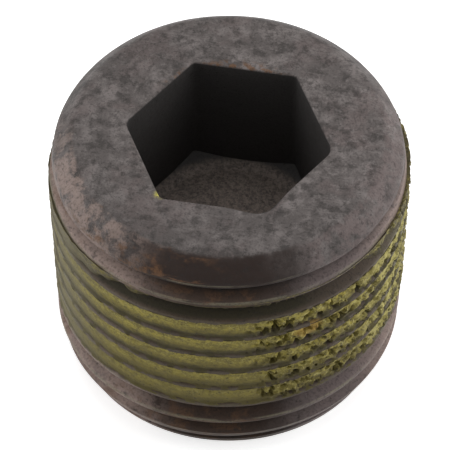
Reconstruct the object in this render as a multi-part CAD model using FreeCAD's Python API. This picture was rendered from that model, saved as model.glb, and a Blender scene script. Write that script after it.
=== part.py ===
import FreeCAD, Part

import math
import os

# A headless taper screw plug: one turned and cold punched piece of steel, with dried sealant in its thread.
# It stands on its small end, with the hexagon socket facing up.
# The origin is the middle of the small end face, +Z runs up the axis, and +X meets a corner of the socket.

# Outer form
length = 16.0
top_flat_diameter = 17.3
top_chamfer_height = 1.0
shoulder_diameter = 19.3  # at the foot of the top chamfer
shoulder_reach = 3.3  # below the top plane, where the worn shoulder meets the crests
bottom_flat_diameter = 17.45
bottom_chamfer_height = 1.95

# Taper thread, right handed
pitch = 1.5
crest_diameter = 20.15  # of the cone through the crests, where it meets the top plane
taper = 1.0 / 16.0  # loss of diameter for each unit of length
flank_angle = 30.0  # of each side of the groove, from the plane across the axis
crest_flat = 0.32
groove_end_depth = 1.74  # below the top plane, where the groove stops at full depth
groove_end_angle = -65.0
runout_sweep = 100.0  # turn over which the groove then rises out of the metal
runout_steps = 8
tool_clearance = 0.1  # by which a cutter stands out of the metal that it cuts

# Dried sealant, one with the plug: it fills the groove for some turns, and dried with the socket facing down,
# so that it is flush with the crest above it and sunk at the crest below
sealant_start_turns = 1.5  # below the groove's end
sealant_turns = 5.0
sealant_sag = 0.3  # below the crests, where it meets the flank below it
sealant_edge = 0.03  # by which it covers each edge of the groove
seam_turns = 0.06  # by which the cutter above the sealant runs on into the open groove

# Hexagon socket
across_flats = 10.0
socket_depth = 7.75  # down to the foot of the flats
floor_flat_diameter = 8.8
floor_slope = 20.0  # of the floor between its round flat and the walls
corner_radius = 0.3
eased_corner_radius = 0.7
worn_corner_radius = 2.0
rim_bevel = 0.2

AXIS = FreeCAD.Vector(0.0, 0.0, 1.0)
ORIGIN = FreeCAD.Vector(0.0, 0.0, 0.0)
FULL_TURN = 360.0


def crest_radius(height):
    """Radius of the cone through the crests at a height above the small end."""
    return (crest_diameter - (length - height) * taper) / 2.0


def revolved(outline):
    """Solid of revolution of a closed outline of (radius, height) points."""
    corners = [FreeCAD.Vector(radius, 0.0, height) for radius, height in outline]
    face = Part.Face(Part.makePolygon(corners + corners[:1]))
    return face.revolve(ORIGIN, AXIS, FULL_TURN)


def plain_body():
    """The tapered bar with a chamfer at each end and a worn shoulder under the top one."""
    return revolved([
        (0.0, 0.0),
        (bottom_flat_diameter / 2.0, 0.0),
        (crest_radius(bottom_chamfer_height), bottom_chamfer_height),
        (crest_radius(length - shoulder_reach), length - shoulder_reach),
        (shoulder_diameter / 2.0, length - top_chamfer_height),
        (top_flat_diameter / 2.0, length),
        (0.0, length),
    ])


# Hexagon socket


def upright_edges(prism, angles):
    """Upright edges of a hexagon prism that stand at the given angles about the axis."""
    found = []
    for edge in prism.Edges:
        start, end = (vertex.Point for vertex in edge.Vertexes)
        if abs(start.z - end.z) < tool_clearance:
            continue
        angle = math.degrees(math.atan2(start.y, start.x)) % FULL_TURN
        if any(abs(angle - wanted) < 1.0 for wanted in angles):
            found.append(edge)
    return found


def hexagon_prism(low, high):
    """Prism of the socket's outline, with sharp, eased and worn corners as the punch left them."""
    corner = across_flats / math.sqrt(3.0)
    points = []
    for step in range(6):
        angle = math.radians(60.0 * step)
        points.append(FreeCAD.Vector(corner * math.cos(angle), corner * math.sin(angle), low))
    face = Part.Face(Part.makePolygon(points + points[:1]))
    prism = face.extrude(FreeCAD.Vector(0.0, 0.0, high - low))
    prism = prism.makeFillet(corner_radius, upright_edges(prism, (60.0, 120.0, 240.0)))
    prism = prism.makeFillet(eased_corner_radius, upright_edges(prism, (0.0, 180.0)))
    return prism.makeFillet(worn_corner_radius, upright_edges(prism, (300.0,)))


def socket_punch():
    """The punch: the hexagon above a floor that slopes down to a round flat."""
    foot = length - socket_depth
    rise = math.tan(math.radians(floor_slope))
    flat_radius = floor_flat_diameter / 2.0
    floor = foot - (across_flats / 2.0 - flat_radius) * rise
    reach = across_flats
    edge_height = floor + (reach - flat_radius) * rise
    above = length + tool_clearance
    envelope = revolved([
        (0.0, floor),
        (flat_radius, floor),
        (reach, edge_height),
        (reach, above),
        (0.0, above),
    ])
    return hexagon_prism(floor - tool_clearance, above).common(envelope)


def punched(body):
    """The body with its socket, and the rim of the socket bevelled."""
    cut = body.cut(socket_punch())
    rim = []
    for edge in cut.Edges:
        box = edge.BoundBox
        in_top_plane = box.ZMin > length - rim_bevel / 2.0
        reach = max(abs(box.XMin), abs(box.XMax), abs(box.YMin), abs(box.YMax))
        if in_top_plane and reach < top_flat_diameter / 2.0 - tool_clearance:
            rim.append(edge)
    return cut.makeChamfer(rim_bevel, rim)


# Taper thread


def groove_depth():
    """Depth of the V groove from the crest flats to its root."""
    return (pitch - crest_flat) / 2.0 / math.tan(math.radians(flank_angle))


def flank_reach(depth):
    """How far a flank runs along the axis while it goes down by a depth."""
    return depth * math.tan(math.radians(flank_angle))


def groove_section(angle, height, outline):
    """Outline of (depth below the crests, distance above the middle) points, at an angle and height."""
    crest = crest_radius(height)
    points = [FreeCAD.Vector(crest - depth, 0.0, height + above) for depth, above in outline]
    section = Part.makePolygon(points + points[:1])
    section.rotate(ORIGIN, AXIS, angle)
    return section


def open_outline(lift):
    """V outline of the open groove, lifted out of the metal by a distance."""
    mouth = -tool_clearance - lift
    reach = flank_reach(groove_depth() + tool_clearance)
    return [(groove_depth() - lift, 0.0), (mouth, reach), (mouth, -reach)]


def sealed_outline():
    """Outline of what the sealant leaves of the groove, up to nothing at the crest above."""
    half_mouth = flank_reach(groove_depth()) - sealant_edge
    lower = half_mouth - flank_reach(sealant_sag)
    rise = tool_clearance * (lower + half_mouth) / sealant_sag
    return [
        (sealant_sag, -lower),
        (-tool_clearance, half_mouth + rise),
        (-tool_clearance, -half_mouth - flank_reach(tool_clearance)),
    ]


def groove_spine(first, last):
    """The line of the groove's root, an edge for each turn, between two numbers of turns below its end."""
    cone_angle = math.degrees(math.atan(taper / 2.0))
    slant_pitch = pitch / math.cos(math.radians(cone_angle))
    edges = []
    turns = first
    while turns > last:
        start = length - groove_end_depth - turns * pitch
        rise = slant_pitch * min(1.0, turns - last)
        coil = Part.makeHelix(slant_pitch, rise, crest_radius(start) - groove_depth(), cone_angle)
        coil.rotate(ORIGIN, AXIS, groove_end_angle - turns * FULL_TURN)
        coil.translate(FreeCAD.Vector(0.0, 0.0, start))
        edges.append(coil.Edges[0])
        turns -= 1.0
    return Part.Wire(edges)


def groove_sweep(outline, first, last):
    """The sweep of an outline up the groove, between two numbers of turns below the groove's end."""
    sweep = Part.BRepOffsetAPI.MakePipeShell(groove_spine(first, last))
    sweep.setFrenetMode(True)
    start_height = length - groove_end_depth - first * pitch
    sweep.add(groove_section(groove_end_angle - first * FULL_TURN, start_height, outline))
    sweep.build()
    sweep.makeSolid()
    return sweep


def runout_cutter(end_section):
    """The groove's run-out, from the section where it stops at full depth."""
    sections = [end_section]
    full_lift = groove_depth() + tool_clearance / 2.0
    for step in range(1, runout_steps + 1):
        share = step / runout_steps
        turned = runout_sweep * share
        height = length - groove_end_depth + pitch * turned / FULL_TURN
        sections.append(groove_section(groove_end_angle + turned, height, open_outline(full_lift * share**2)))
    return Part.makeLoft(sections, True, False)


def threaded(body):
    """The body with its groove: open, then filled with sealant, then open again up to the run-out."""
    sealant_end = sealant_start_turns + sealant_turns
    lower_turns = math.ceil((length - groove_end_depth) / pitch + 0.5 - sealant_end)
    lower = groove_sweep(open_outline(0.0), sealant_end + lower_turns, sealant_end)
    sealed = groove_sweep(sealed_outline(), sealant_end + seam_turns, sealant_start_turns - seam_turns)
    upper = groove_sweep(open_outline(0.0), sealant_start_turns, 0.0)
    runout = runout_cutter(Part.Wire(upper.lastShape().Edges))
    return body.cut(lower.shape()).cut(upper.shape().fuse(runout)).cut(sealed.shape())


def plug_body():
    """The whole plug."""
    return threaded(punched(plain_body()))


def main():
    """Write the plug to its file."""
    os.makedirs("parts", exist_ok=True)
    plug = plug_body()
    print("plug_body", "valid" if plug.isValid() else "not valid", round(plug.Volume, 2), "cubic mm")
    plug.exportStep("parts/plug_body.step")


main()
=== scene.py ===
import logging
import math
from collections.abc import Callable, Iterable, Sequence
from dataclasses import dataclass, field
from enum import Enum

import bmesh
import bpy
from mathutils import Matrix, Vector, noise


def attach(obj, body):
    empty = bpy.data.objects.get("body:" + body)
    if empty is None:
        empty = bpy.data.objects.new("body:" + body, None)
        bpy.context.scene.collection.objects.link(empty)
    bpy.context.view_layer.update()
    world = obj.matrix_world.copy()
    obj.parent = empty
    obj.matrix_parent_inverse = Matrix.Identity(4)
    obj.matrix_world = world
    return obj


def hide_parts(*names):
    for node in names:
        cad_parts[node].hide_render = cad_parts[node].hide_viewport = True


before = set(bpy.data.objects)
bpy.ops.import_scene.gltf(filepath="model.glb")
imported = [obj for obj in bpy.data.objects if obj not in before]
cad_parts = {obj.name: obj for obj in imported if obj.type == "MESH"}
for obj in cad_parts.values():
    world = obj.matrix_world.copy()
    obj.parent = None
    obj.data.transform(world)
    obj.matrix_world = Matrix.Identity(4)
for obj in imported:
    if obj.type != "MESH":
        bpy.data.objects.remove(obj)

LOG = logging.getLogger("blanking_plug")

MM = 0.001
TURN = 360.0
BODY = "root"
CAD_NODE = "plug_body"
WELD = 0.0005  # within which points of a finished piece are one, in millimetres
ROUGH_WELD = 0.001  # the same while it is being cut
RELIEF_HEIGHT = 0.05  # of the finest relief on either finish, in millimetres
WHITE = (1.0, 1.0, 1.0, 1.0)

# The angle about the plug's axis, counted from +X, that faces the camera
FRONT_ANGLE = -79.7

Outline = Callable[[float], tuple[float, float]]
Value = "Signal | float"


# Shapes


def clamp(value: float, low: float = 0.0, high: float = 1.0) -> float:
    """Hold a value between two limits."""
    return max(low, min(high, value))


def smooth_step(low: float, high: float, value: float) -> float:
    """Rise smoothly from 0 at low to 1 at high; low may be above high, for a fall."""
    share = clamp((value - low) / (high - low))
    return share * share * (3.0 - 2.0 * share)


def soft_min(first: float, second: float, blend: float) -> float:
    """Take the lower of two lengths, with the corner between them rounded over the blend."""
    share = clamp(0.5 + 0.5 * (second - first) / blend)
    return second * (1.0 - share) + first * share - blend * share * (1.0 - share)


def line_at(start: tuple[float, float], end: tuple[float, float], height: float) -> float:
    """Read the radius of a straight outline, through two (radius, height) points, at a height."""
    share = (height - start[1]) / (end[1] - start[1])
    return start[0] + (end[0] - start[0]) * share


def facing(angle: float) -> float:
    """Turn an angle from +X into one from the photograph's front, from -180 to 180 degrees."""
    return (angle - FRONT_ANGLE + 180.0) % TURN - 180.0


def polar(point: Vector) -> tuple[float, float]:
    """Read a point's radius, and its angle in degrees from +X."""
    return math.hypot(point.x, point.y), math.degrees(math.atan2(point.y, point.x))


def set_polar(point: Vector, radius: float, angle: float, height: float) -> None:
    """Move a point to a radius, an angle in degrees and a height.

    Args:
        point: The point to move.
        radius: Its new radius.
        angle: Its new angle from +X.
        height: Its new height.
    """
    point.x = radius * math.cos(math.radians(angle))
    point.y = radius * math.sin(math.radians(angle))
    point.z = height


def waves(point: Vector, size: float, depth: int = 3, seed: float = 0.0) -> float:
    """Read smooth noise, about -1 to 1, at a point in millimetres, with waves of a size."""
    where = Vector((point.x / size + seed, point.y / size - seed, point.z / size + 2.0 * seed))
    return noise.fractal(where, 0.9, 2.1, depth)


# Work in edit mode


class Axis(Enum):
    """The axes along which a drawn outline's points can follow one another."""

    X = 0
    Z = 2


def only(piece: bpy.types.Object) -> None:
    """Select one object alone and make it the active one.

    Args:
        piece: The object.
    """
    if bpy.context.object is not None and bpy.context.object.mode == "EDIT":
        bpy.ops.object.mode_set(mode="OBJECT")
    bpy.ops.object.select_all(action="DESELECT")
    piece.select_set(True)
    bpy.context.view_layer.objects.active = piece


def new_outline(name: str, points: Sequence[tuple[float, float]]) -> bpy.types.Object:
    """Draw an open outline in the XZ plane, by extruding a single point from place to place.

    Args:
        name: The new object's name.
        points: Radius and height of each point, in order.

    Returns:
        The object, in object mode.
    """
    bpy.ops.object.select_all(action="DESELECT")
    bpy.ops.mesh.primitive_plane_add(size=1.0, location=(0.0, 0.0, 0.0))
    piece = bpy.context.object
    piece.name = name
    piece.data.name = name
    bpy.ops.object.mode_set(mode="EDIT")
    bpy.ops.mesh.select_mode(type="VERT")
    bpy.ops.mesh.select_all(action="SELECT")
    bpy.ops.mesh.merge(type="CENTER")
    radius, height = points[0]
    bpy.ops.transform.translate(value=(radius, 0.0, height))
    for next_radius, next_height in points[1:]:
        step = (next_radius - radius, 0.0, next_height - height)
        bpy.ops.mesh.extrude_region_move(TRANSFORM_OT_translate={"value": step})
        radius, height = next_radius, next_height
    bpy.ops.object.mode_set(mode="OBJECT")
    return piece


def wind(piece: bpy.types.Object, rise: float, turns: int, steps: int) -> None:
    """Sweep an outline up a helix about the Z axis.

    Args:
        piece: The object that holds the outline.
        rise: The rise in one turn.
        turns: The number of turns.
        steps: The number of steps in one turn.
    """
    only(piece)
    screw = piece.modifiers.new("winding", "SCREW")
    screw.axis = "Z"
    screw.angle = math.tau
    screw.screw_offset = rise
    screw.iterations = turns
    screw.steps = steps
    screw.render_steps = steps
    screw.use_merge_vertices = False
    screw.use_smooth_shade = True
    bpy.ops.object.modifier_apply(modifier=screw.name)


def places_in_row(piece: bpy.types.Object, row: int, axis: Axis) -> dict[int, int]:
    """Match the vertices of a wound outline with its points.

    Args:
        piece: The wound piece.
        row: The number of points in the outline.
        axis: The axis along which the drawn points follow one another.

    Returns:
        For each vertex's number within its row, the number of its point.
    """
    ranks = sorted(range(row), key=lambda index: piece.data.vertices[index].co[axis.value])
    return {index: rank for rank, index in enumerate(ranks)}


def select_edges(piece: bpy.types.Object, test: Callable[[bmesh.types.BMEdge], bool]) -> None:
    """Select the edges, in edit mode, that pass a test, and nothing else.

    Args:
        piece: The object in edit mode.
        test: Says whether an edge is wanted.
    """
    bpy.ops.mesh.select_all(action="DESELECT")
    bpy.ops.mesh.select_mode(type="EDGE")
    mesh = bmesh.from_edit_mesh(piece.data)
    for edge in mesh.edges:
        if test(edge):
            edge.select_set(True)
    mesh.select_flush_mode()
    bmesh.update_edit_mesh(piece.data)


def extend_ring(piece: bpy.types.Object, outlines: Iterable[Outline]) -> None:
    """Extrude the selected ring of edges once for each outline, and lay it on that outline.

    Args:
        piece: The object in edit mode, with the ring selected.
        outlines: Each gives the radius and height of the new ring at an angle in degrees.
    """
    for outline in outlines:
        bpy.ops.mesh.extrude_edges_move()
        mesh = bmesh.from_edit_mesh(piece.data)
        for vertex in mesh.verts:
            if vertex.select:
                angle = polar(vertex.co)[1]
                radius, height = outline(angle)
                set_polar(vertex.co, radius, angle, height)
        bmesh.update_edit_mesh(piece.data)


def finish_mesh(piece: bpy.types.Object, smooth_angle: float) -> None:
    """Bring a mesh from millimetres to metres, with its faces outwards and smooth.

    Args:
        piece: The object, in object mode.
        smooth_angle: Edges sharper than this many degrees stay sharp.
    """
    only(piece)
    bpy.ops.object.mode_set(mode="EDIT")
    bpy.ops.mesh.select_all(action="SELECT")
    bpy.ops.mesh.remove_doubles(threshold=WELD)
    bpy.ops.mesh.normals_make_consistent(inside=False)
    bpy.ops.transform.resize(value=(MM, MM, MM), center_override=(0.0, 0.0, 0.0))
    bpy.ops.object.mode_set(mode="OBJECT")
    bpy.ops.object.shade_smooth_by_angle(angle=math.radians(smooth_angle))


# Shader graphs


class Signal:
    """A number that a shader node gives out, on which Python's operators add Math nodes."""

    def __init__(self, graph: "Graph", socket: bpy.types.NodeSocket) -> None:
        """Wrap a socket.

        Args:
            graph: The graph that the socket is in.
            socket: The socket.
        """
        self.graph = graph
        self.socket = socket

    def __add__(self, other: Value) -> "Signal":
        """Add."""
        return self.graph.math("ADD", self, other)

    def __radd__(self, other: Value) -> "Signal":
        """Add, with the number first."""
        return self.graph.math("ADD", other, self)

    def __sub__(self, other: Value) -> "Signal":
        """Subtract."""
        return self.graph.math("SUBTRACT", self, other)

    def __rsub__(self, other: Value) -> "Signal":
        """Subtract from a number."""
        return self.graph.math("SUBTRACT", other, self)

    def __mul__(self, other: Value) -> "Signal":
        """Multiply."""
        return self.graph.math("MULTIPLY", self, other)

    def __rmul__(self, other: Value) -> "Signal":
        """Multiply, with the number first."""
        return self.graph.math("MULTIPLY", other, self)

    def __truediv__(self, other: Value) -> "Signal":
        """Divide."""
        return self.graph.math("DIVIDE", self, other)

    def maximum(self, other: Value) -> "Signal":
        """Take the larger of two values."""
        return self.graph.math("MAXIMUM", self, other)

    def between(self, low: float, high: float) -> "Signal":
        """Rise smoothly from 0 at low to 1 at high; low may be above high, for a fall."""
        return self.graph.signal(
            "ShaderNodeMapRange",
            {"interpolation_type": "SMOOTHSTEP"},
            {"Value": self, "From Min": low, "From Max": high},
        )


class Graph:
    """The node graph of a material or of the world."""

    def __init__(self, owner: bpy.types.Material | bpy.types.World) -> None:
        """Start an empty graph.

        Args:
            owner: The material or world that the graph is for.
        """
        owner.use_nodes = True
        self.tree = owner.node_tree
        self.tree.nodes.clear()

    def node(self, kind: str, settings: dict | None = None, inputs: dict | None = None) -> bpy.types.Node:
        """Add a node.

        Args:
            kind: The node's type.
            settings: Its settings by name.
            inputs: A value, a socket or a Signal for each input, by name or number.

        Returns:
            The new node.
        """
        node = self.tree.nodes.new(kind)
        for name, value in (settings or {}).items():
            setattr(node, name, value)
        for name, value in (inputs or {}).items():
            self.connect(value, node.inputs[name])
        return node

    def connect(self, value: object, socket: bpy.types.NodeSocket) -> None:
        """Feed an input with a link or a fixed value.

        Args:
            value: A Signal, a socket, or a number, colour or vector.
            socket: The input.
        """
        if isinstance(value, Signal):
            value = value.socket
        if isinstance(value, bpy.types.NodeSocket):
            self.tree.links.new(value, socket)
        else:
            socket.default_value = value

    def signal(self, kind: str, settings: dict | None = None, inputs: dict | None = None) -> Signal:
        """Add a node and take its first output as a number."""
        return Signal(self, self.node(kind, settings, inputs).outputs[0])

    def math(self, operation: str, *values: Value) -> Signal:
        """Add a Math node."""
        return self.signal("ShaderNodeMath", {"operation": operation}, dict(enumerate(values)))

    def in_view(self) -> Signal:
        """Mark what the camera sees, straight on, in a reflection or through something clear.

        Returns:
            1 for those rays, and 0 for the others.
        """
        ray = self.node("ShaderNodeLightPath")
        seen = Signal(self, ray.outputs["Is Camera Ray"])
        for kind in ("Is Glossy Ray", "Is Transmission Ray"):
            seen = seen.maximum(Signal(self, ray.outputs[kind]))
        return seen


class Skin(Graph):
    """The graph of one finish, in millimetres of the plug's own frame, with its colour laid coat over coat."""

    def __init__(self, name: str, colour: tuple) -> None:
        """Start the graph with its Object coordinates and its first coat.

        Args:
            name: The material's name.
            colour: The colour of the first coat.
        """
        self.material = bpy.data.materials.new(name)
        super().__init__(self.material)
        self.colour = colour
        where = self.node("ShaderNodeTexCoord").outputs["Object"]
        inputs = {"Vector": where, "Scale": 1.0 / MM}
        self.place = self.node("ShaderNodeVectorMath", {"operation": "SCALE"}, inputs).outputs["Vector"]
        inputs = {"Vector": self.place, "Angle": math.radians(-90.0 - FRONT_ANGLE)}
        turned = self.node("ShaderNodeVectorRotate", {"rotation_type": "Z_AXIS"}, inputs)
        parts = self.node("ShaderNodeSeparateXYZ", {}, {"Vector": turned.outputs["Vector"]})
        self.right, self.away, self.height = (Signal(self, parts.outputs[axis]) for axis in "XYZ")
        self.radius = self.math("SQRT", self.right * self.right + self.away * self.away)
        self.side = self.math("ARCTAN2", self.right, 0.0 - self.away) * math.degrees(1.0)

    def over_crest(self, form: "ThreadForm") -> Signal:
        """Find how far a point of the thread lies above the middle of its crest.

        Args:
            form: The thread's sizes.

        Returns:
            The distance in millimetres, from minus half a pitch to half a pitch.
        """
        turned = (self.side + (FRONT_ANGLE - form.groove_end_angle)) / TURN
        turns = (self.height - form.groove_height(0.0)) / form.pitch - turned
        return (self.math("FRACT", turns) - 0.5) * form.pitch

    def noise(self, size: float, detail: float = 3.0, seed: float = 0.0, rough: float = 0.55,
              stretch: tuple[float, float, float] = (1.0, 1.0, 1.0)) -> Signal:
        """Add noise from 0 to 1.

        Args:
            size: The width of one wave in millimetres.
            detail: The number of finer layers.
            seed: A shift that gives another pattern.
            rough: The strength of the finer layers.
            stretch: The scale along each axis.

        Returns:
            The noise.
        """
        inputs = {"Vector": self.place, "Location": (seed, -seed, 0.5 * seed), "Scale": stretch}
        place = self.node("ShaderNodeMapping", {}, inputs).outputs["Vector"]
        inputs = {"Vector": place, "Scale": 1.0 / size, "Detail": detail, "Roughness": rough}
        return self.signal("ShaderNodeTexNoise", {}, inputs)

    def streaks(self, size: float, length: float, seed: float = 0.0, rough: float = 0.6) -> Signal:
        """Add noise from 0 to 1 that is drawn out around the axis.

        Args:
            size: The width of one streak in millimetres.
            length: The length of one streak in millimetres.
            seed: A shift that gives another pattern.
            rough: The strength of the finer layers.

        Returns:
            The noise.
        """
        across = (self.height + self.radius * 0.8) / size
        inputs = {"X": self.right / length + seed, "Y": self.away / length - seed, "Z": across}
        place = self.node("ShaderNodeCombineXYZ", {}, inputs)
        inputs = {"Vector": place.outputs["Vector"], "Scale": 1.0, "Detail": 4.0, "Roughness": rough}
        return self.signal("ShaderNodeTexNoise", {}, inputs)

    def near(self, point: tuple[float, float, float], reach: float) -> Signal:
        """Mark a round spot: 1 in its middle, and 0 outside its reach in millimetres."""
        away = self.node("ShaderNodeVectorMath", {"operation": "DISTANCE"}, {0: self.place, 1: point})
        return Signal(self, away.outputs["Value"]).between(reach, 0.2 * reach)

    def lay(self, share: Value, colour: tuple) -> None:
        """Lay a coat of colour over those already there.

        Args:
            share: How much of the coat there is, from 0 to 1.
            colour: Its colour.
        """
        inputs = {0: share, 6: self.colour, 7: colour}
        self.colour = self.node("ShaderNodeMix", {"data_type": "RGBA"}, inputs).outputs[2]

    def surface(self, roughness: Value, metallic: float, specular: float, relief: Signal) -> bpy.types.Material:
        """Close the graph with a Principled shader.

        Args:
            roughness: The roughness.
            metallic: The share of bare metal.
            specular: The specular level.
            relief: The fine relief from 0 to 1.

        Returns:
            The finished material.
        """
        inputs = {"Height": relief, "Distance": RELIEF_HEIGHT * MM, "Strength": 1.0}
        inputs = {
            "Base Color": self.colour,
            "Roughness": roughness,
            "Metallic": metallic,
            "Specular IOR Level": specular,
            "Normal": self.node("ShaderNodeBump", {}, inputs).outputs["Normal"],
        }
        shader = self.node("ShaderNodeBsdfPrincipled", {}, inputs)
        self.node("ShaderNodeOutputMaterial", {}, {"Surface": shader.outputs["BSDF"]})
        return self.material


def tone(red: int, green: int, blue: int) -> tuple[float, float, float, float]:
    """Give a screen colour as the linear colour that a shader takes.

    Args:
        red: Red, from 0 to 255.
        green: Green.
        blue: Blue.

    Returns:
        The colour with full opacity.
    """
    levels = [part / 255.0 for part in (red, green, blue)]
    linear = [part / 12.92 if part < 0.04045 else ((part + 0.055) / 1.055) ** 2.4 for part in levels]
    return (linear[0], linear[1], linear[2], 1.0)


# The plug's form


@dataclass(frozen=True)
class ThreadForm:
    """Sizes of the taper thread and of the body's outline, in millimetres and degrees."""

    length: float = 16.0
    pitch: float = 1.5
    crest_diameter: float = 20.15
    taper: float = 1.0 / 16.0
    flank_angle: float = 30.0
    crest_flat: float = 0.32
    groove_end_depth: float = 1.74
    groove_end_angle: float = -65.0
    runout_sweep: float = 100.0
    top_flat_radius: float = 8.65
    top_chamfer_height: float = 1.0
    shoulder_radius: float = 9.65
    shoulder_reach: float = 3.3
    bottom_flat_radius: float = 8.725
    bottom_chamfer_height: float = 1.95
    edge_softness: float = 0.16
    top_turn: float = 11.95

    @property
    def groove_depth(self) -> float:
        """Depth of the V groove from the crest flats to its root."""
        return (self.pitch - self.crest_flat) / 2.0 / math.tan(math.radians(self.flank_angle))

    def crest_radius(self, height: float) -> float:
        """Read the cone through the crests at a height above the small end."""
        return (self.crest_diameter - (self.length - height) * self.taper) / 2.0

    def groove_height(self, turned: float) -> float:
        """Height of the groove's middle, some degrees past the place where it starts to run out."""
        return self.length - self.groove_end_depth + self.pitch * turned / TURN

    def lift(self, turned: float) -> float:
        """Tell how far the groove has risen out of the metal, some degrees past where that starts."""
        share = clamp(turned / self.runout_sweep)
        return share * share * (self.groove_depth + 0.05)

    def outline_radius(self, height: float) -> float:
        """Read the body's plain outline, with its chamfers and worn shoulder, at a height.

        Args:
            height: The height above the small end.

        Returns:
            The radius there.
        """
        crown_height = self.length - self.shoulder_reach
        shoulder = (self.shoulder_radius, self.length - self.top_chamfer_height)
        crown = (self.crest_radius(crown_height), crown_height)
        foot = (self.crest_radius(self.bottom_chamfer_height), self.bottom_chamfer_height)
        radius = self.crest_radius(height)
        radius = soft_min(radius, line_at(crown, shoulder, height), self.edge_softness)
        top = (self.top_flat_radius, self.length)
        radius = soft_min(radius, line_at(shoulder, top, height), self.edge_softness)
        return soft_min(radius, line_at((self.bottom_flat_radius, 0.0), foot, height), self.edge_softness)


@dataclass(frozen=True)
class Socket:
    """Sizes of the hexagon socket, in millimetres and degrees."""

    across_flats: float = 10.0
    depth: float = 7.75
    floor_flat_radius: float = 4.4
    floor_slope: float = 20.0
    rim_width: float = 0.13
    broken_rim_width: float = 0.42
    corner_radii: tuple[float, ...] = (0.9, 0.3, 0.3, 0.7, 0.4, 1.2)

    def outline(self, angle: float, grown: float = 0.0) -> float:
        """Read the hexagon's outline at an angle about the axis.

        Args:
            angle: The angle in degrees.
            grown: How far the outline is moved outwards.

        Returns:
            The radius there.
        """
        step = TURN / 6.0
        corner = round(angle / step)
        off = math.radians(abs(angle - corner * step))
        half_width = self.across_flats / 2.0 + grown
        rounding = self.corner_radii[corner % 6] + grown
        half_step = math.radians(step / 2.0)
        centre = (half_width - rounding) / math.cos(half_step)
        straight_from = half_step - math.atan((half_width - rounding) * math.tan(half_step) / half_width)
        if off < straight_from:
            return centre * math.cos(off) + math.sqrt(rounding**2 - (centre * math.sin(off)) ** 2)
        return half_width / math.cos(half_step - off)

    def rim(self, angle: float) -> float:
        """Width of the rim at an angle; it is broken away at the corner nearest the front."""
        off = abs((angle - TURN * 5.0 / 6.0 + 180.0) % TURN - 180.0)
        return self.rim_width + (self.broken_rim_width - self.rim_width) * smooth_step(24.0, 4.0, off)

    def floor_height(self, radius: float, top: float) -> float:
        """Height of the floor at a radius.

        Args:
            radius: The distance from the axis.
            top: The height of the top plane.

        Returns:
            The floor's height.
        """
        rise = math.tan(math.radians(self.floor_slope))
        flat = top - self.depth - (self.across_flats / 2.0 - self.floor_flat_radius) * rise
        return flat + max(0.0, radius - self.floor_flat_radius) * rise


# Finishes


def band(value: "Signal", low: float, high: float, soft: float) -> "Signal":
    """Mark the values between two limits, with ends that fade by a soft margin."""
    return value.between(low - soft, low + soft) * value.between(high + soft, high - soft)


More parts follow.
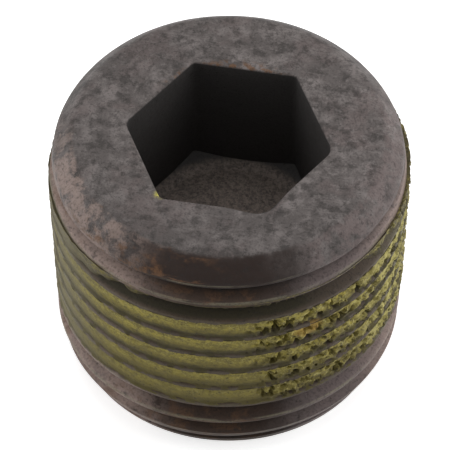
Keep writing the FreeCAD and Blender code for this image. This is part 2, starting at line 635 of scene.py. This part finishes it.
@dataclass(frozen=True)
class WornSteel:
    """Dark phosphated steel, rubbed grey on top, with rust, oil and traces of sealant; painted shade darkens
    its front, its thread roots and its socket, and painted highlights lie on its crest edges.
    """

    grey: tuple = tone(88, 82, 80)
    pale: tuple = tone(122, 115, 113)
    dark: tuple = tone(50, 46, 44)
    pits_and_root_shade: tuple = tone(30, 27, 25)
    oil_and_shade: tuple = tone(33, 21, 16)
    brown: tuple = tone(58, 45, 37)
    rust: tuple = tone(98, 70, 48)
    pink: tuple = tone(146, 128, 120)
    plum: tuple = tone(100, 88, 86)
    film: tuple = tone(100, 96, 76)
    olive: tuple = tone(46, 42, 28)
    smear: tuple = tone(64, 54, 42)
    pale_edge: tuple = tone(122, 117, 98)
    sealant: tuple = tone(184, 176, 84)
    socket: tuple = tone(54, 52, 51)
    socket_floor: tuple = tone(124, 112, 104)
    metallic: float = 0.12
    specular: float = 0.22

    def material(self, form: ThreadForm) -> bpy.types.Material:
        """Build the material.

        Args:
            form: The thread's sizes, from which its crests are found.

        Returns:
            The material.
        """
        g = Skin("worn_phosphated_steel", self.grey)
        grain = g.noise(0.14, 4.0, 5.0, 0.65)
        blotch = g.noise(1.4, 5.0, 3.0, 0.62)
        side = g.side + (g.noise(2.2, 4.0, 11.0, 0.6) - 0.5) * 22.0
        self._rubbed(g, blotch)
        self._shoulder(g, side)
        self._thread(g, side, g.over_crest(form))
        self._inside(g)
        pits = g.noise(0.26, 5.0, 21.0, 0.68).between(0.56, 0.7)
        g.lay(pits * 0.5, self.pits_and_root_shade)
        g.lay(grain.between(0.48, 0.68) * 0.45, self.pits_and_root_shade)
        relief = 0.55 * g.noise(0.3, 5.0, 61.0, 0.65) + 0.35 * grain - 0.3 * pits
        return g.surface(0.52 + 0.2 * blotch, self.metallic, self.specular, relief)

    def _rubbed(self, g: Skin, blotch: Signal) -> None:
        """Lay the rubbed grey of the bare metal, in patches and with fine scratches, and painted shade towards
        the left, the front and the back.

        Args:
            g: The graph of the finish.
            blotch: Broad noise from 0 to 1.
        """
        g.lay(blotch.between(0.42, 0.66), self.pale)
        g.lay(g.noise(2.6, 4.0, 17.0, 0.6).between(0.48, 0.62) * 0.5, self.plum)
        g.lay(g.noise(0.8, 6.0, 13.0, 0.72).between(0.46, 0.62) * 0.75, self.dark)
        g.lay(g.noise(0.4, 5.0, 14.0, 0.72).between(0.52, 0.66) * 0.5, self.pale)
        # Painted shade: darker towards the left, the front and the back of the plug
        g.lay(g.right.between(1.0, -9.0) * 0.2, self.dark)
        g.lay(g.away.between(-2.0, -7.5) * 0.3, self.dark)
        g.lay(g.away.between(3.0, 8.0) * 0.2, self.dark)
        scratches = g.noise(0.6, 4.0, 41.0, 0.6, (0.3, 4.0, 1.0)).between(0.6, 0.68)
        g.lay(scratches * 0.3, self.pale)
        scratches = g.streaks(0.16, 2.4, 47.0).between(0.6, 0.7)
        g.lay(scratches * 0.35, self.dark)

    def _shoulder(self, g: Skin, side: Signal) -> None:
        """Lay the oil with painted shade at the front, the rust and the rubbed pink stretches on the shoulder.

        Args:
            g: The graph of the finish.
            side: The angle from the front in degrees, made uneven.
        """
        edge = g.radius + (g.noise(0.5, 3.0, 19.0) - 0.5) * 0.4
        below_flat = edge.between(8.42, 8.7)
        patches = g.noise(0.9, 5.0, 35.0, 0.68)
        left = band(side, -88.0, -20.0, 14.0) * patches.between(0.4, 0.56)
        g.lay(left * below_flat * 0.68, self.pink)
        right = band(side, 26.0, 110.0, 14.0) * patches.between(0.62, 0.44)
        g.lay(right * below_flat * 0.7, self.plum)
        # Dark oil with painted shade over the front of the shoulder
        front = band(side, -36.0, 22.0, 12.0)
        g.lay(front * below_flat * 0.96, self.oil_and_shade)
        rust = g.streaks(0.32, 3.0, 31.0, 0.66).between(0.5, 0.62)
        rust = rust * g.noise(0.5, 4.0, 33.0, 0.7).between(0.34, 0.6)
        rusty = band(side, -62.0, -4.0, 12.0) * g.height.between(12.4, 13.0)
        g.lay(rust * rusty * below_flat * 0.9, self.rust)
        rim = band(g.side.maximum(0.0 - g.side), 140.0, 196.0, 10.0) * g.radius.between(5.8, 5.2)
        rim = rim * g.height.between(15.7, 15.95) * g.noise(0.4, 4.0, 37.0, 0.65).between(0.5, 0.6)
        g.lay(rim * 0.8, self.rust)

    def _thread(self, g: Skin, side: Signal, over_crest: Signal) -> None:
        """Lay painted shade in the thread's roots and over its front, film on its sides, and wear and painted
        highlights on its crests.

        Args:
            g: The graph of the finish.
            side: The angle from the front in degrees, made uneven.
            over_crest: The height above the middle of the crest, in millimetres.
        """
        thread = g.height.between(14.6, 14.1) * g.radius.between(8.2, 8.5)
        patches = g.streaks(0.3, 1.4, 43.0, 0.68)
        front = band(side, -25.0, 16.0, 15.0)
        away = band(g.side, -58.0, 62.0, 14.0)
        seen = thread * g.side.maximum(0.0 - g.side).between(175.0, 130.0)
        g.lay(seen * side.between(0.0, -36.0) * patches.between(0.26, 0.5) * 0.9, self.pink)
        g.lay(seen * side.between(8.0, 40.0) * 0.8, self.plum)
        g.lay(seen * side.between(44.0, 70.0) * patches.between(0.3, 0.5) * 0.8, self.pink)
        # Brown at the front of the thread: a brown film, darkened there with painted shade
        g.lay(thread * front * 0.96, self.brown)
        g.lay(thread * side.between(30.0, 0.0) * patches.between(0.48, 0.62) * 0.45, self.rust)
        foot = g.height + (g.noise(1.2, 4.0, 53.0, 0.6) - 0.5) * 0.9
        coated = foot.between(4.1, 4.5) * foot.between(13.4, 13.0)
        g.lay(thread * coated * 0.85, self.smear)
        filmed = coated * (1.0 - away) * g.noise(0.7, 5.0, 51.0, 0.66).between(0.28, 0.5)
        g.lay(filmed * thread * 0.85, self.film)
        off_crest = over_crest.maximum(0.0 - over_crest)
        top_film = band(g.height, 11.8, 13.25, 0.15) * off_crest.between(0.17, 0.3) * side.between(40.0, 20.0)
        g.lay(top_film * 0.9, self.olive)
        # Painted shade in the thread's roots, strongest at the front
        g.lay(thread * off_crest.between(0.42, 0.68) * (0.35 + 0.6 * front), self.pits_and_root_shade)
        # Worn crests, with a painted highlight along their upper halves
        crest_wear_and_highlight = band(over_crest, -0.06, 0.16, 0.04) * g.streaks(0.3, 2.0, 57.0, 0.66).between(0.4, 0.58)
        crest_wear_and_highlight = crest_wear_and_highlight * (0.5 - 0.35 * coated * away)
        g.lay(thread * crest_wear_and_highlight, self.pale_edge)
        # Painted highlight along the shoulder's lower edge at the front
        lip = band(over_crest, -0.22, -0.13, 0.03) * g.height.between(14.3, 14.6) * front
        g.lay(lip * g.streaks(0.3, 2.0, 59.0).between(0.4, 0.6) * 0.5, self.pale_edge)

    def _inside(self, g: Skin) -> None:
        """Darken the socket with its darker steel and painted shade, speckle its floor, and leave a crumb of
        sealant at its rim.

        Args:
            g: The graph of the finish.
        """
        inside = g.radius.between(6.2, 6.0) * g.height.between(15.97, 15.86)
        # The socket's own darker steel, with painted shade over its walls and floor
        g.lay(inside * 0.97, self.socket)
        floor = inside * g.height.between(8.35, 8.15)
        speckle = g.noise(0.24, 5.0, 71.0, 0.75).between(0.34, 0.66)
        g.lay(floor * (0.3 + 0.7 * speckle), self.socket_floor)
        crumb = g.near((-2.95, -4.8, 15.85), 0.46) * g.noise(0.2, 3.0, 73.0).between(0.36, 0.46)
        g.lay(crumb, self.sealant)


@dataclass(frozen=True)
class DriedSealant:
    """Yellow-green thread sealant, dried to a dull crust and dirty in places, with painted shade low in each
    band and painted highlights high in it.
    """

    bright: tuple = tone(150, 138, 62)
    pale: tuple = tone(172, 163, 100)
    olive: tuple = tone(92, 83, 40)
    film: tuple = tone(102, 96, 75)
    dirt_and_shade: tuple = tone(44, 39, 27)
    dull: tuple = tone(76, 69, 54)
    orange: tuple = tone(164, 128, 54)
    specular: float = 0.3

    def material(self, form: ThreadForm) -> bpy.types.Material:
        """Build the material.

        Args:
            form: The thread's sizes, from which the crests are found.

        Returns:
            The material.
        """
        g = Skin("dried_thread_sealant", self.olive)
        over_crest = g.over_crest(form)
        blotch = g.noise(0.32, 6.0, 2.0, 0.72)
        grain = g.noise(0.11, 4.0, 23.0, 0.7)
        side = g.side + (g.noise(1.8, 4.0, 11.0, 0.6) - 0.5) * 30.0
        across = g.math("FRACT", over_crest / form.pitch) * form.pitch
        shade = across + (g.streaks(0.4, 1.6, 27.0, 0.68) - 0.5) * 0.7
        g.lay(blotch.between(0.34, 0.62), self.bright)
        g.lay(g.streaks(0.5, 3.0, 29.0, 0.66).between(0.46, 0.62) * 0.6, self.olive)
        # Paler grains high in each band as painted highlight
        g.lay(grain.between(0.48, 0.7) * 0.6 * shade.between(0.5, 1.0), self.pale)
        # Olive, then darker, low in each band: painted shade
        g.lay(shade.between(1.15, 0.55) * 0.55, self.olive)
        g.lay(shade.between(0.75, 0.22) * 0.85, self.dirt_and_shade)
        # Olive towards the lower turns: partly the sealant's tone, partly painted shade
        g.lay(g.height.between(8.4, 5.4) * 0.5, self.olive)
        # Painted highlight high in each band on the right side
        g.lay(g.side.between(40.0, 62.0) * shade.between(0.3, 0.7) * 0.75, self.pale)
        top_turn = (g.height - g.side * (form.pitch / TURN)).between(form.top_turn - 0.1, form.top_turn + 0.1)
        g.lay(top_turn * (0.5 + 0.5 * blotch.between(0.6, 0.4)), self.dull)
        g.lay(top_turn * band(side, -16.0, 50.0, 10.0) * 0.35, self.dirt_and_shade)
        edges = 1.0 - band(g.side, -52.0, 78.0, 14.0)
        g.lay(edges * 0.65, self.film)
        # Where the sealant lies loose: pale specks as painted highlights on its beads, and dark specks
        loose = side.between(6.0, 22.0)
        bead_highlights = g.noise(0.36, 3.0, 15.0, 0.6).between(0.54, 0.64) * shade.between(0.4, 0.8)
        g.lay(loose * bead_highlights * 0.7, self.pale)
        g.lay(loose * g.noise(0.3, 5.0, 13.0, 0.66).between(0.52, 0.64) * 0.7, self.dirt_and_shade)
        g.lay(g.noise(0.18, 5.0, 12.0, 0.68).between(0.57, 0.68) * 0.8, self.dirt_and_shade)
        warm = (g.side - 26.0) * (g.side - 26.0) * 0.012 + (g.height - 10.3) * (g.height - 10.3)
        g.lay(warm.between(0.5, 0.05) * 0.5, self.orange)
        relief = 0.6 * g.noise(0.2, 5.0, 22.0, 0.7) + 0.4 * grain
        return g.surface(0.66 + 0.2 * blotch, 0.0, self.specular, relief)


# The plug


@dataclass(frozen=True)
class Mark:
    """A dent or a rubbed place: its angle from the front, its radius, height, width and depth."""

    side: float
    radius: float
    height: float
    width: float
    depth: float

    def place(self) -> Vector:
        """The mark's middle."""
        point = Vector()
        set_polar(point, self.radius, self.side + FRONT_ANGLE, self.height)
        return point


@dataclass
class PlugBody:
    """The steel plug: a taper thread, a worn shoulder and a hexagon socket in one piece."""

    form: ThreadForm = field(default_factory=ThreadForm)
    socket: Socket = field(default_factory=Socket)
    steps_per_turn: int = 300
    turns: int = 13
    side_top: float = 15.25
    flank_steps: int = 5
    crest_ease: float = 0.05
    flat_ease_height: float = 0.3
    flat_ease_width: float = 0.45
    back_growth: float = 0.18
    top_skin: float = 0.25
    marks: tuple[Mark, ...] = (
        Mark(-42.0, 9.1, 15.4, 0.45, 0.22),
        Mark(71.0, 8.9, 15.6, 0.4, 0.12),
        Mark(-100.0, 8.2, 16.0, 0.7, 0.08),
        Mark(128.0, 8.0, 16.0, 0.6, 0.08),
        Mark(-75.0, 9.8, 14.2, 2.4, 0.1),
        Mark(60.0, 9.8, 14.0, 2.0, 0.08),
    )

    def build(self) -> bpy.types.Object:
        """Model the plug.

        Returns:
            The finished piece.
        """
        piece = self._threaded_side()
        self._trim_ends(piece)
        self._close_bottom(piece)
        self._add_top(piece)
        self._weather(piece)
        finish_mesh(piece, 40.0)
        return piece

    def _pitch_outline(self) -> list[tuple[float, float]]:
        """Depth below the crests and height above the root, over one pitch.

        Returns:
            The points from one root to the next, with the crest's edges eased.
        """
        form = self.form
        flank_height = (form.pitch - form.crest_flat) / 2.0
        points = []
        for step in range(self.flank_steps):
            share = step / self.flank_steps
            points.append((form.groove_depth * (1.0 - share), flank_height * share))
        ease = self.crest_ease
        points += [
            (1.2 * ease, flank_height - 0.7 * ease),
            (0.35 * ease, flank_height + 0.2 * ease),
            (0.0, flank_height + 1.5 * ease),
            (0.0, form.pitch / 2.0),
        ]
        return points + [(depth, form.pitch - height) for depth, height in reversed(points[:-1])]

    def _threaded_side(self) -> bpy.types.Object:
        """Wind one pitch of the thread up the body, and lay it on the tapered outline.

        Returns:
            The open threaded side, in millimetres.
        """
        form = self.form
        outline = self._pitch_outline()
        full_turns = self.turns - 2
        first = form.groove_height(-form.groove_end_angle - TURN * full_turns)
        foot = form.crest_radius(0.0)
        piece = new_outline("steel_plug", [(foot - depth, first + height) for depth, height in outline])
        wind(piece, form.pitch, self.turns, self.steps_per_turn)
        row = len(outline)
        rank_of = places_in_row(piece, row, Axis.Z)
        for vertex in piece.data.vertices:
            step, index = divmod(vertex.index, row)
            depth, height = outline[rank_of[index]]
            angle = TURN * step / self.steps_per_turn
            turned = angle - form.groove_end_angle - TURN * full_turns
            if height > form.pitch / 2.0:
                turned += TURN
            height += first + form.pitch * angle / TURN
            radius = form.crest_radius(height) - max(0.0, depth - form.lift(turned))
            set_polar(vertex.co, min(radius, form.outline_radius(height)), angle, height)
        return piece

    def _trim_ends(self, piece: bpy.types.Object) -> None:
        """Cut the threaded side off square at both ends.

        Args:
            piece: The threaded side, which is left in edit mode.
        """
        only(piece)
        bpy.ops.object.mode_set(mode="EDIT")
        bpy.ops.mesh.select_all(action="SELECT")
        bpy.ops.mesh.remove_doubles(threshold=ROUGH_WELD)
        for height, cleared in ((0.0, "clear_inner"), (self.side_top, "clear_outer")):
            bpy.ops.mesh.select_all(action="SELECT")
            bpy.ops.mesh.bisect(plane_co=(0.0, 0.0, height), plane_no=(0.0, 0.0, 1.0), **{cleared: True})
        bpy.ops.mesh.select_all(action="SELECT")
        bpy.ops.mesh.remove_doubles(threshold=ROUGH_WELD)

    def _close_bottom(self, piece: bpy.types.Object) -> None:
        """Close the small end with a flat face.

        Args:
            piece: The trimmed side, in edit mode.
        """
        select_edges(piece, lambda edge: edge.is_boundary and max(v.co.z for v in edge.verts) < 0.01)
        flat = self.form.bottom_flat_radius
        shares = (0.95, 0.7, 0.4, 0.15)
        extend_ring(piece, [lambda angle, share=share: (flat * share, 0.0) for share in shares])
        bpy.ops.mesh.merge(type="CENTER")

    def _add_top(self, piece: bpy.types.Object) -> None:
        """Carry the shoulder up to the top plane, and sink the socket in it.

        Args:
            piece: The trimmed side, in edit mode, which is left in object mode.
        """
        top = self.form.length
        rim = self.side_top - 0.01
        select_edges(piece, lambda edge: edge.is_boundary and min(v.co.z for v in edge.verts) > rim)
        for rings in (self._crown_outlines, self._rim_outlines, self._wall_outlines, self._floor_outlines):
            extend_ring(piece, rings())
        bpy.ops.mesh.merge(type="CENTER")
        LOG.info("socket floor at %.2f mm", self.socket.floor_height(0.0, top))
        bpy.ops.object.mode_set(mode="OBJECT")

    def _crown_outlines(self) -> list[Outline]:
        """Rings from the shoulder over the eased edge of the top plane, and in towards the socket.

        Returns:
            The rings, from the outside in.
        """
        form = self.form
        edge = form.top_flat_radius
        start = (form.outline_radius(self.side_top), self.side_top)
        ease_height = form.length - self.flat_ease_height
        ease_from = (line_at(start, (edge, form.length), ease_height), ease_height)
        ease_to = (edge - self.flat_ease_width, form.length)
        points = []
        for step in range(1, 5):
            share = step / 4.0
            points.append(tuple(low + (high - low) * share for low, high in zip(start, ease_from)))
        for step in range(1, 7):
            share = step / 6.0
            rest = 1.0 - share
            points.append((
                rest * rest * ease_from[0] + 2.0 * rest * share * edge + share * share * ease_to[0],
                rest * rest * ease_from[1] + 2.0 * rest * share * form.length + share * share * ease_to[1],
            ))
        rings: list[Outline] = [lambda angle, point=point: point for point in points]
        steps = 14
        for step in range(1, steps + 1):
            rings.append(lambda angle, share=step / steps: (
                ease_to[0] + (self.socket.outline(angle, self.socket.rim(angle)) - ease_to[0]) * share,
                form.length,
            ))
        return rings

    def _rim_outlines(self) -> list[Outline]:
        """Rings over the rounded rim of the socket.

        Returns:
            The rings, from the top down.
        """
        width = self.socket.rim
        rings: list[Outline] = []
        for step in range(1, 5):
            bend = math.radians(90.0 * step / 4.0)
            rings.append(lambda angle, bend=bend: (
                self.socket.outline(angle, width(angle) * (1.0 - math.sin(bend))),
                self.form.length - width(angle) * (1.0 - math.cos(bend)),
            ))
        return rings

    def _wall_outlines(self) -> list[Outline]:
        """Rings down the socket's walls to the foot."""
        steps = 12
        return [lambda angle, share=step / steps: self._wall(angle, share) for step in range(1, steps + 1)]

    def _wall(self, angle: float, share: float) -> tuple[float, float]:
        """Place a point of the socket's wall.

        Args:
            angle: The angle about the axis.
            share: The share of the way down.

        Returns:
            Its radius and height.
        """
        top = self.form.length
        radius = self.socket.outline(angle)
        start = top - self.socket.rim(angle)
        return radius, start + (self.socket.floor_height(radius, top) - start) * share

    def _floor_outlines(self) -> list[Outline]:
        """Rings from the foot of the walls over the sloped floor, and in over its flat.

        Returns:
            The rings, from the outside in.
        """
        top = self.form.length
        flat = self.socket.floor_flat_radius
        rings: list[Outline] = [
            lambda angle, share=share: self._slope(angle, share) for share in (0.1, 0.4, 0.7, 0.95, 1.0)
        ]
        for share in (0.97, 0.85, 0.7, 0.55, 0.4, 0.25, 0.1):
            rings.append(lambda angle, share=share: (flat * share, self.socket.floor_height(0.0, top)))
        return rings

    def _slope(self, angle: float, share: float) -> tuple[float, float]:
        """Place a point of the socket's sloped floor.

        Args:
            angle: The angle about the axis.
            share: The share of the way in to the round flat.

        Returns:
            Its radius and height.
        """
        wall = self.socket.outline(angle)
        radius = wall + (self.socket.floor_flat_radius - wall) * share
        return radius, self.socket.floor_height(radius, self.form.length)

    def _weather(self, piece: bpy.types.Object) -> None:
        """Press in the dents, rub down the worn stretches and roughen the whole skin a little.

        Args:
            piece: The closed plug, in millimetres.
        """
        form = self.form
        for vertex in piece.data.vertices:
            point = vertex.co
            if point.z < 0.02:
                continue
            radius, angle = polar(point)
            on_side = radius > form.top_flat_radius and point.z < form.length - self.top_skin
            uneven = 0.012 * waves(point, 1.4, 3) + 0.006 * waves(point, 0.4, 2, 7.0)
            for mark in self.marks:
                reach = (point - mark.place()).length / mark.width
                if reach < 1.0:
                    uneven -= mark.depth * (1.0 - reach * reach) ** 2
            if point.z > 13.5 and radius > 8.0:
                back = smooth_step(110.0, 170.0, abs(facing(angle))) * smooth_step(13.5, 14.6, point.z)
                radius += self.back_growth * back
                set_polar(point, radius, angle, point.z)
            if on_side:
                sunk = clamp((form.crest_radius(point.z) - radius) / 0.3)
                set_polar(point, radius - abs(uneven) * (1.0 - 0.6 * sunk), angle, point.z)
            elif point.z > form.length - self.top_skin:
                point.z = min(form.length, point.z - abs(uneven))
            else:
                set_polar(point, radius * (1.0 + 0.002 * waves(point, 1.0)), angle, point.z + 0.4 * uneven)

    def dress(self, piece: bpy.types.Object) -> None:
        """Give the plug its finish and its place in the frame.

        Args:
            piece: The finished piece.
        """
        piece.data.materials.clear()
        piece.data.materials.append(WornSteel().material(self.form))
        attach(piece, BODY)
        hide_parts(CAD_NODE)


# The sealant


@dataclass
class SealantCoat:
    """The dried sealant in the grooves, as one band wound with the thread."""

    form: ThreadForm = field(default_factory=ThreadForm)
    steps_per_turn: int = 600
    turns: int = 6
    full_turns: float = 5.0
    start_turned: float = -TURN * 6.5
    across: int = 17
    buried: float = 0.05
    sag: float = 0.07
    thin_depth: float = 0.6
    end_turns: float = 0.14
    end_depth: float = 0.95
    pit_depth: float = 0.5
    lump_height: float = 0.13
    crumbly_side: tuple[float, ...] = (6.0, 22.0, 100.0, 128.0)
    thin_side: tuple[float, ...] = (-66.0, -16.0, 38.0, 76.0)

    def build(self) -> bpy.types.Object:
        """Model the band.

        Returns:
            The finished piece.
        """
        form = self.form
        outline = self._band_outline()
        first = form.groove_height(self.start_turned)
        piece = new_outline("thread_sealant", [(8.0 + index, first) for index in range(len(outline))])
        wind(piece, form.pitch, self.turns, self.steps_per_turn)
        row = len(outline)
        self._join_outline(piece, row)
        rank_of = places_in_row(piece, row, Axis.X)
        last_step = self.turns * self.steps_per_turn
        for vertex in piece.data.vertices:
            step, index = divmod(vertex.index, row)
            along, outer = outline[rank_of[index]]
            turned = self.start_turned + TURN * step / self.steps_per_turn
            angle = form.groove_end_angle + turned
            height = form.groove_height(turned) + along * (form.pitch - form.crest_flat) / 2.0
            end = min(step, last_step - step) / (self.end_turns * self.steps_per_turn)
            thin = smooth_step(self.full_turns - 0.04, self.full_turns + 0.06, step / self.steps_per_turn)
            radius = form.crest_radius(height) - self._depth(along, outer, angle, height, end, thin)
            set_polar(vertex.co, radius, angle, height)
        self._cap_ends(piece)
        finish_mesh(piece, 60.0)
        return piece

    def _band_outline(self) -> list[tuple[float, bool]]:
        """Points around the band's section: the place across the groove, and whether it is on the outside.

        Returns:
            The points, from the upper crest down and back up inside.
        """
        outside = [(1.2 - 2.4 * step / (self.across - 1), True) for step in range(self.across)]
        inside = [(-0.9, False), (0.0, False), (0.9, False)]
        return outside + inside

    def _join_outline(self, piece: bpy.types.Object, row: int) -> None:
        """Close the section all along the band, from its last row of points to its first.

        Args:
            piece: The wound band.
            row: The number of points in the section.
        """
        ends = sorted(range(row), key=lambda index: piece.data.vertices[index].co.x)
        low, high = ends[0], ends[-1]
        mesh = bmesh.new()
        mesh.from_mesh(piece.data)
        mesh.verts.ensure_lookup_table()
        for step in range(self.turns * self.steps_per_turn):
            base = step * row
            mesh.faces.new([mesh.verts[base + low], mesh.verts[base + high],
                            mesh.verts[base + row + high], mesh.verts[base + row + low]])
        mesh.to_mesh(piece.data)
        mesh.free()

    def _depth(self, along: float, outer: bool, angle: float, height: float, end: float,
               thin: float) -> float:
        """Depth below the crests of a point of the band.

        Args:
            along: The place across the groove, from -1 at its lower crest to 1 at its upper one.
            outer: Whether the point is on the outside.
            angle: The angle about the axis.
            height: The height above the small end.
            end: The distance from the band's nearer end, as a share of the taper there.
            thin: The share of the thin turn here, against the full ones.

        Returns:
            The depth.
        """
        form = self.form
        wall = form.groove_depth * max(0.0, 1.0 - abs(along))
        if not outer:
            return wall + 2.6 * self.buried
        point = Vector()
        set_polar(point, form.crest_radius(height), angle, height)
        side = facing(angle)
        rises, full, falls, gone = self.crumbly_side
        crumbly = smooth_step(rises, full, side + 9.0 * waves(point, 2.6, 2, 3.0))
        crumbly *= smooth_step(gone, falls, side)
        wavering = side + 14.0 * waves(point, 1.6, 3, 45.0)
        rises, full, falls, gone = self.thin_side
        thin *= smooth_step(rises, full, wavering) * smooth_step(gone, falls, wavering)
        fill = 0.01 + self.sag * smooth_step(1.0, -1.15, along) ** 1.3 + self.thin_depth * thin
        fill += 0.035 * waves(point, 0.9, 3, 5.0) + 0.02 * waves(point, 0.25, 2, 9.0)
        pits = smooth_step(0.14, 0.42, waves(point, 0.42, 3, 15.0))
        lumps = smooth_step(0.05, 0.4, waves(point, 0.32, 2, 25.0))
        fill += crumbly * (self.pit_depth * pits - self.lump_height * lumps)
        ragged = 0.25 * waves(point, 0.8, 3, 55.0) * smooth_step(1.0, 0.8, end)
        fill += (1.0 - clamp(end + ragged)) ** 2 * self.end_depth
        lip = smooth_step(0.86, 1.1, abs(along)) * (1.0 - thin)
        proud = 0.004 + 0.06 * waves(point, 0.6, 3, 35.0) - 0.08 * crumbly * lumps
        fill = fill * (1.0 - lip) + lip * max(proud, -0.05)
        return min(max(fill, -0.1), wall + self.buried * (1.0 + 1.4 * thin))

    def _cap_ends(self, piece: bpy.types.Object) -> None:
        """Close both ends of the band.

        Args:
            piece: The band, in object mode.
        """
        only(piece)
        bpy.ops.object.mode_set(mode="EDIT")
        bpy.ops.mesh.select_mode(type="EDGE")
        bpy.ops.mesh.select_all(action="DESELECT")
        bpy.ops.mesh.select_non_manifold(extend=False, use_wire=False, use_multi_face=False,
                                         use_non_contiguous=False, use_verts=False)
        bpy.ops.mesh.fill_holes(sides=0)
        bpy.ops.object.mode_set(mode="OBJECT")

    def dress(self, piece: bpy.types.Object) -> None:
        """Give the band its finish and its place in the frame.

        Args:
            piece: The finished piece.
        """
        piece.data.materials.clear()
        piece.data.materials.append(DriedSealant().material(self.form))
        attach(piece, BODY)


# The studio


@dataclass(frozen=True)
class SoftBox:
    """A square lamp: its angle from the front, and its distance, height and width in metres."""

    name: str
    side: float
    reach: float
    height: float
    width: float
    power: float


@dataclass(frozen=True)
class Studio:
    """The floor, the lights and the camera."""

    distance: float = 0.3
    elevation: float = 50.04
    azimuth: float = 10.3
    aim_height: float = 8.41
    aim_right: float = -0.201
    lens: float = 429.4
    room_light: float = 0.35
    floor_paint: float = 0.9
    floor_glow: float = 0.6
    lamp_aim: float = 0.008
    boxes: tuple[SoftBox, ...] = (
        SoftBox("top_box", 180.0, 0.1, 0.32, 0.3, 0.5),
        SoftBox("left_box", -96.0, 0.25, 0.1, 0.2, 0.32),
        SoftBox("right_box", 92.0, 0.25, 0.1, 0.2, 0.46),
    )

    def build(self) -> None:
        """Set up the floor, the world, the lights and the camera."""
        self._floor()
        self._world()
        for box in self.boxes:
            self._hang(box)
        self._camera()
        bpy.context.scene.view_settings.view_transform = "Standard"

    def _floor(self) -> None:
        """Lay a plain pale floor, which glows a little where it is seen."""
        bpy.ops.object.select_all(action="DESELECT")
        bpy.ops.mesh.primitive_plane_add(size=2.0, location=(0.0, 0.0, 0.0))
        floor = bpy.context.object
        floor.name = "floor"
        material = bpy.data.materials.new("pale_floor")
        graph = Graph(material)
        paint = graph.node("ShaderNodeBsdfDiffuse", {}, {"Color": (*[self.floor_paint] * 3, 1.0)}).outputs[0]
        glow = graph.node("ShaderNodeEmission", {}, {"Color": WHITE, "Strength": self.floor_glow})
        both = graph.node("ShaderNodeAddShader", {}, {0: paint, 1: glow.outputs[0]})
        mixed = graph.node("ShaderNodeMixShader", {}, {0: graph.in_view(), 1: paint, 2: both.outputs[0]})
        graph.node("ShaderNodeOutputMaterial", {}, {"Surface": mixed.outputs[0]})
        floor.data.materials.append(material)

    def _world(self) -> None:
        """Fill the room with plain light, and show it white behind the object."""
        world = bpy.data.worlds.new("studio")
        bpy.context.scene.world = world
        graph = Graph(world)
        dim = graph.node("ShaderNodeBackground", {}, {"Color": WHITE, "Strength": self.room_light})
        white = graph.node("ShaderNodeBackground", {}, {"Color": WHITE})
        shares = {0: graph.in_view(), 1: dim.outputs[0], 2: white.outputs[0]}
        mixed = graph.node("ShaderNodeMixShader", {}, shares)
        graph.node("ShaderNodeOutputWorld", {}, {"Surface": mixed.outputs[0]})

    def _hang(self, box: SoftBox) -> None:
        """Hang a lamp, and aim it at the middle of the plug.

        Args:
            box: The lamp.
        """
        lamp = bpy.data.lights.new(box.name, "AREA")
        lamp.shape = "SQUARE"
        lamp.size = box.width
        lamp.energy = box.power
        holder = bpy.data.objects.new(box.name, lamp)
        bpy.context.collection.objects.link(holder)
        angle = math.radians(box.side + FRONT_ANGLE)
        holder.location = (box.reach * math.cos(angle), box.reach * math.sin(angle), box.height)
        aim = Vector((0.0, 0.0, self.lamp_aim)) - holder.location
        holder.rotation_euler = aim.to_track_quat("-Z", "Y").to_euler()

    def _camera(self) -> None:
        """Put the camera at the photograph's viewing angle."""
        data = bpy.data.cameras.new("camera")
        data.lens = self.lens
        data.sensor_width = 36.0
        data.clip_start = 0.01
        camera = bpy.data.objects.new("camera", data)
        bpy.context.collection.objects.link(camera)
        turn, rise = math.radians(self.azimuth), math.radians(self.elevation)
        back = Vector((math.sin(turn) * math.cos(rise), -math.cos(turn) * math.cos(rise), math.sin(rise)))
        right = Vector((math.cos(turn), math.sin(turn), 0.0))
        aim = right * self.aim_right * MM + Vector((0.0, 0.0, self.aim_height * MM))
        camera.location = aim + back * self.distance
        camera.rotation_euler = (-back).to_track_quat("-Z", "Y").to_euler()
        bpy.context.scene.camera = camera


def main() -> None:
    """Load the frame, build the pieces around it and note the sizes."""
    logging.basicConfig(level=logging.INFO, format="%(name)s: %(message)s")
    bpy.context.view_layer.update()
    for part in (PlugBody(), SealantCoat()):
        piece = part.build()
        part.dress(piece)
        LOG.info("%s: %d faces", piece.name, len(piece.data.polygons))
    Studio().build()


if __name__ == "__main__":
    main()
